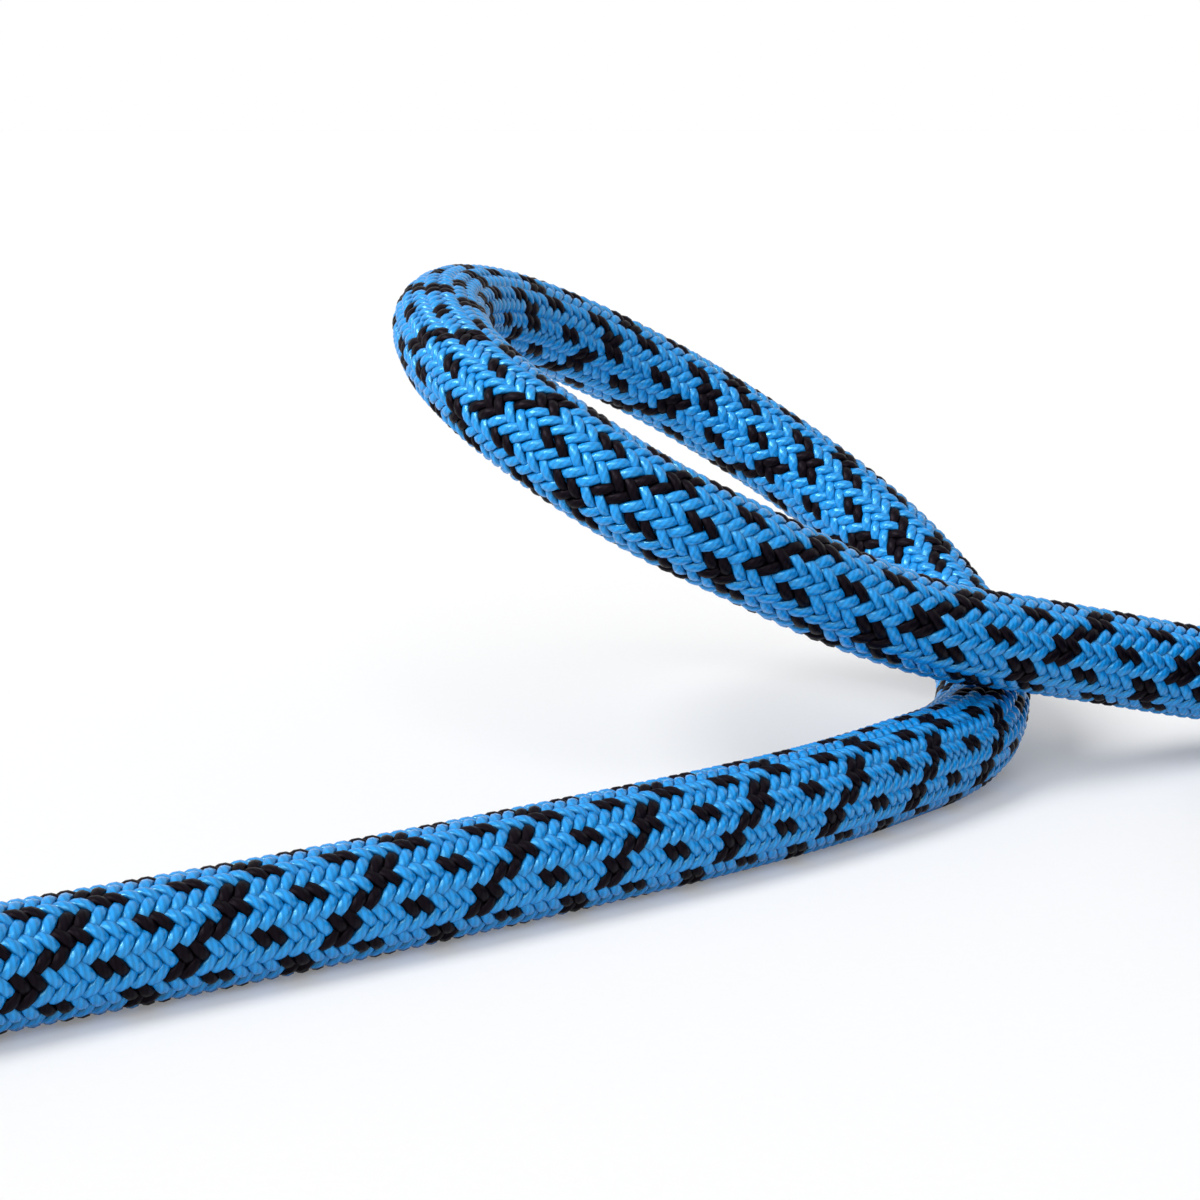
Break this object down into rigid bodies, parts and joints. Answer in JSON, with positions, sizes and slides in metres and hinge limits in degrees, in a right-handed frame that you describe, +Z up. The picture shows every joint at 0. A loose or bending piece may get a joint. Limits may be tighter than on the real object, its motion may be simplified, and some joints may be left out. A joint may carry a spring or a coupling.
{
  "type": "dynamic climbing rope",
  "caption": "Braided sheath rope over parallel core strands, lying in a raised open loop, with the rest of its length wound into a strapped coil and both ends sealed and sleeved.",
  "frame": {"origin": "on the floor, under the middle of the part's box", "axes": "+X from the loose end's side towards the coil, along the longest extent; +Z up; +Y away from the viewer of the pictured loop"},
  "size_m": [0.304, 0.1618, 0.0543],
  "materials": {
    "sheath": "silky braided polyamide, blue with black tracer yarns",
    "core": "undyed twisted polyamide",
    "tape": "thin smooth film",
    "sleeve": "shrink tube, satin",
    "seal": "melted yarn, slightly glossy",
    "strap": "woven hook-and-loop tape, matt"
  },
  "bodies": {
    "root": {"sheath_loop": "sheath", "core_strand_01": "core", "core_strand_02": "core", "core_strand_03": "core", "core_strand_04": "core", "core_strand_05": "core", "core_strand_06": "core", "core_strand_07": "core", "core_strand_08": "core", "core_strand_09": "core", "core_strand_10": "core", "core_strand_11": "core", "core_strand_12": "core", "marker_tape": "tape", "coiled_rope": "sheath", "loose_end_sleeve": "sleeve", "loose_end_seal": "seal", "coil_end_sleeve": "sleeve", "coil_end_seal": "seal", "first_strap": "strap", "second_strap": "strap", "third_strap": "strap"}
  },
  "joints": []
}
